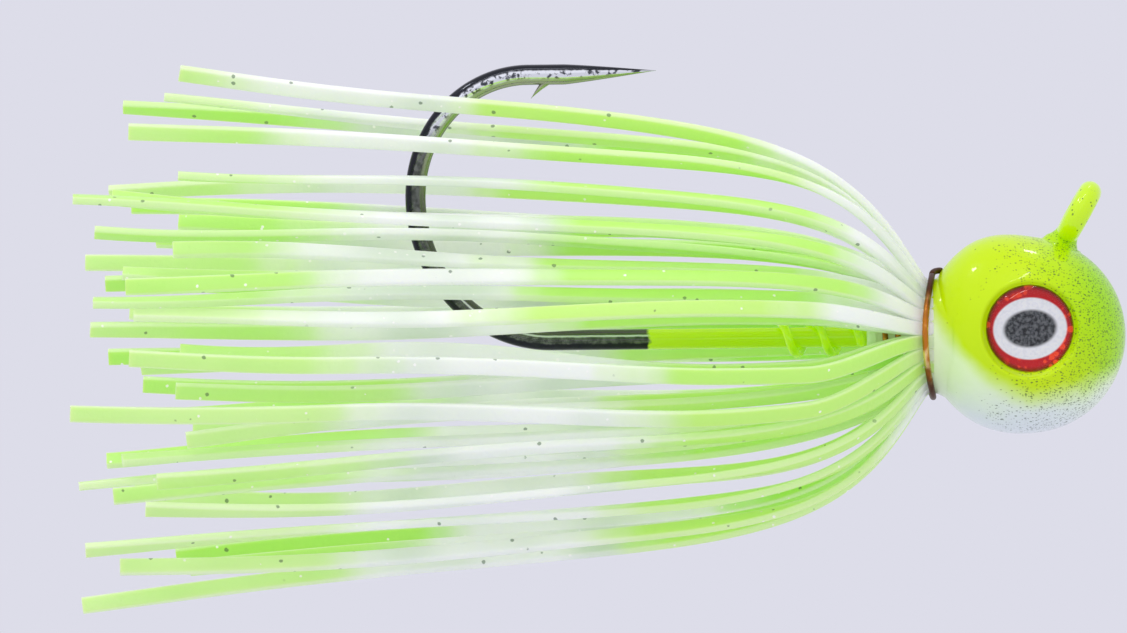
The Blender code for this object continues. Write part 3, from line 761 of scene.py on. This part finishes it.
def strand(layer, index, chance):
    """One strip: a rounded rectangle carried along the bell line of its CAD strand, with waves and a twist.

    The line spreads by rise * (1 - exp(-e / length)) + slope * e, where e is the distance behind the tie with
    a soft start. The strip drifts sideways and twists with the square of the share of its length, and two
    slow waves of its own, of under a millimetre, grow towards its tip. Strips at the top and bottom turn
    towards the sides. On one side the strips beside the shank part a little, so that the coil shows.
    """
    pitch = math.radians(360.0 - 2 * layer["hook_gap"]) / (layer["count"] - 1)
    angle = math.radians(90.0 + layer["hook_gap"]) + pitch * index
    flat = 1 - SKIRT_FLATNESS * math.cos(angle) ** 2
    rise = flat * (layer["rise"] + layer["rise_spread"] * chance.uniform(-1, 1))
    slope = flat * (layer["slope"] + layer["slope_spread"] * chance.uniform(-1, 1))
    slope += layer["stray"].get(index, 0.0)
    reach_share = chance.random()
    if index == 0 and layer["stray"]:
        reach_share = STRAY_SHARE
    reach = REACH_MIN + (REACH_MAX - REACH_MIN) * reach_share
    drift = layer["drift"] * chance.uniform(-1, 1)
    twist = TWIST_MAX * chance.uniform(-1, 1)
    if index in (0, layer["count"] - 1):
        drift = abs(drift) if index else -abs(drift)
    own = random.Random(1000 * index + layer["count"])

    # The bell line, with its points closer together near the tie
    share = np.linspace(0, 1, 110)
    bend_start = BEND_START - TIE_BOW * math.sin(angle) ** 2
    root = np.linspace(-STRAND_TUCK, bend_start, 6)[:-1]
    behind = np.concatenate([root, bend_start + (reach - bend_start) * share**STATION_CROWDING])
    past = np.maximum(0, behind - bend_start)
    eased = past**2 / (past + BEND_SOFTNESS)
    spread = rise * (1 - np.exp(-eased / layer["length"])) + slope * eased
    along = np.maximum(0, behind / reach)
    wave = slow_wave(own, SIDE_WAVE, SIDE_PACE, along)
    bob = slow_wave(own, UP_WAVE, UP_PACE, along)
    path = np.stack([-behind, drift * along**2 + wave, spread + bob], -1)

    # The section carried along it
    side, up = frames(path, ACROSS)
    shade = own.random()
    turn = TURN_MAX * math.sin(angle) * own.uniform(0.3, 1.0)
    roll = (twist * along**2 + turn * ease(behind / TURN_LENGTH))[:, None]
    wide = side * np.cos(roll) + up * np.sin(roll)
    high = up * np.cos(roll) - side * np.sin(roll)
    u, v = strip_section()
    full = (ROOT_SQUEEZE + (1 - ROOT_SQUEEZE) * np.clip(behind / SQUEEZE_LENGTH, 0, 1))[:, None, None]
    grid = path[:, None] + full * (u[None, :, None] * wide[:, None] + v[None, :, None] * high[:, None])

    # Its place round the collar
    lean = angle - math.pi / 2
    y = grid[..., 1] * math.cos(lean) - grid[..., 2] * math.sin(lean) + layer["root"] * math.cos(angle)
    z = grid[..., 1] * math.sin(lean) + grid[..., 2] * math.cos(lean) + layer["root"] * math.sin(angle)
    above = math.sin(angle)
    if math.cos(angle) < 0 and abs(above) < PARTING_BAND:
        window = ease((behind - PARTING_START) / PARTING_GROWTH)
        window = window * (1 - ease((behind - PARTING_FADE) / PARTING_FADE_SPAN))
        z = z + PARTING * (PARTING_ABOVE if above > 0 else -1.0) * window[:, None]
    placed = np.stack([TIE_X + grid[..., 0], y, z], -1)

    # What its finish reads: millimetres behind the tie, height in the skirt, own shade, nearness to an edge
    shape = placed.shape[:2]
    attributes = {
        "along": np.broadcast_to((behind / MM)[:, None], shape),
        "upper": np.full(shape, max(0.0, min(1.0, 0.4 + 2.5 * above))),
        "seed": np.full(shape, shade),
        "edge": np.broadcast_to(np.abs(u) / np.abs(u).max(), shape),
    }
    name = f"{layer['name']}_{index + 1:02d}"
    strip = f"skirt_{name}"
    surface(strip, f"strand_{name}", placed, STRAND, closed_v=True, caps=True, attributes=attributes)


for number, layer in enumerate(LAYERS):
    chance = random.Random(SKIRT_SEED + number)
    for index in range(layer["count"]):
        strand(layer, index, chance)

# Surround: the pale backdrop for the camera, for gloss and through the domes, and an even light for the rest
scene = bpy.context.scene
backdrop = srgb(*BACKDROP_RGB)
world = bpy.data.worlds.new("surround")
scene.world = world
world.use_nodes = True
sky = world.node_tree
ray = Wire(sky).node("ShaderNodeLightPath", "Is Camera Ray")
direct = ray.larger(ray.out("Is Glossy Ray")).larger(ray.out("Is Transmission Ray"))
sky.links.new(direct.mix(DAYLIGHT, backdrop).socket, sky.nodes["Background"].inputs["Color"])

# The floor fades out round the object, so that it carries a soft shadow and has no edge
floor_middle = (BALL[0] - FLOOR_BACK, 0.0, cad_low[2] - FLOOR_DROP)
bpy.ops.mesh.primitive_plane_add(size=FLOOR_SIZE, location=floor_middle)
floor = bpy.context.object
FLOOR = Paint("floor", Roughness=0.9, Base_Color=backdrop)
spot = FLOOR.node("ShaderNodeTexCoord", "Object")
away = FLOOR.node("ShaderNodeVectorMath", "Value", {"operation": "LENGTH"}, i0=spot)
solid = Wire(FLOOR.tree, FLOOR.shader.outputs[0])
clear_air = FLOOR.node("ShaderNodeBsdfTransparent")
faded = FLOOR.node("ShaderNodeMixShader", i0=away.ramp(*FLOOR_FADE), i1=solid, i2=clear_air)
FLOOR.tree.links.new(faded.socket, FLOOR.tree.nodes["Material Output"].inputs["Surface"])
floor.data.materials.append(FLOOR.material)

# Lamps: a broad soft one for the whole jig, and three small ones for the highlights on the ball
middle = Vector(SKIRT_MIDDLE)
head_centre = Vector(BALL)


def lamp(name, aim, towards, length, width, power, along=(1, 0, 0)):
    """A soft rectangular light in a direction from a point, facing it, with its length laid along a line."""
    data = bpy.data.lights.new(name, "AREA")
    data.shape = "RECTANGLE"
    data.size = length
    data.size_y = width
    data.energy = power
    obj = bpy.data.objects.new(name, data)
    back = Vector(towards).normalized()
    line = Vector(along)
    level = (line - back * back.dot(line)).normalized()
    turn = Matrix((level, back.cross(level), back)).transposed().to_4x4()
    obj.matrix_world = Matrix.Translation(aim + back * LAMP_DISTANCE) @ turn
    scene.collection.objects.link(obj)


lamp("key", middle, (-0.25, -0.62, 0.75), length=0.6, width=0.6, power=0.22)
streak = (0.81, 0.46, 0.34)
lamp("strip", head_centre, (-0.216, -0.381, 0.899), length=0.27, width=0.012, power=0.14, along=streak)
lamp("spark_rear", head_centre, (-0.59, -0.045, 0.806), length=0.03, width=0.03, power=0.1)
lamp("spark_top", head_centre, (0.136, 0.384, 0.913), length=0.028, width=0.028, power=0.05)

# Camera
camera_data = bpy.data.cameras.new("camera")
camera_data.sensor_width = SENSOR_WIDTH
camera_data.lens = SENSOR_WIDTH * CAMERA_DISTANCE / PHOTO_SPAN
camera_data.clip_start = 0.01
camera = bpy.data.objects.new("camera", camera_data)
stand = BALL + np.array([-CAMERA_BACK, -CAMERA_DISTANCE, CAMERA_UP])
level_view = Matrix.Rotation(math.pi / 2, 4, "X")
camera.matrix_world = Matrix.Translation(stand) @ level_view @ Matrix.Rotation(CAMERA_LEAN, 4, "Z")
scene.collection.objects.link(camera)
scene.camera = camera
scene.view_settings.view_transform = "Standard"
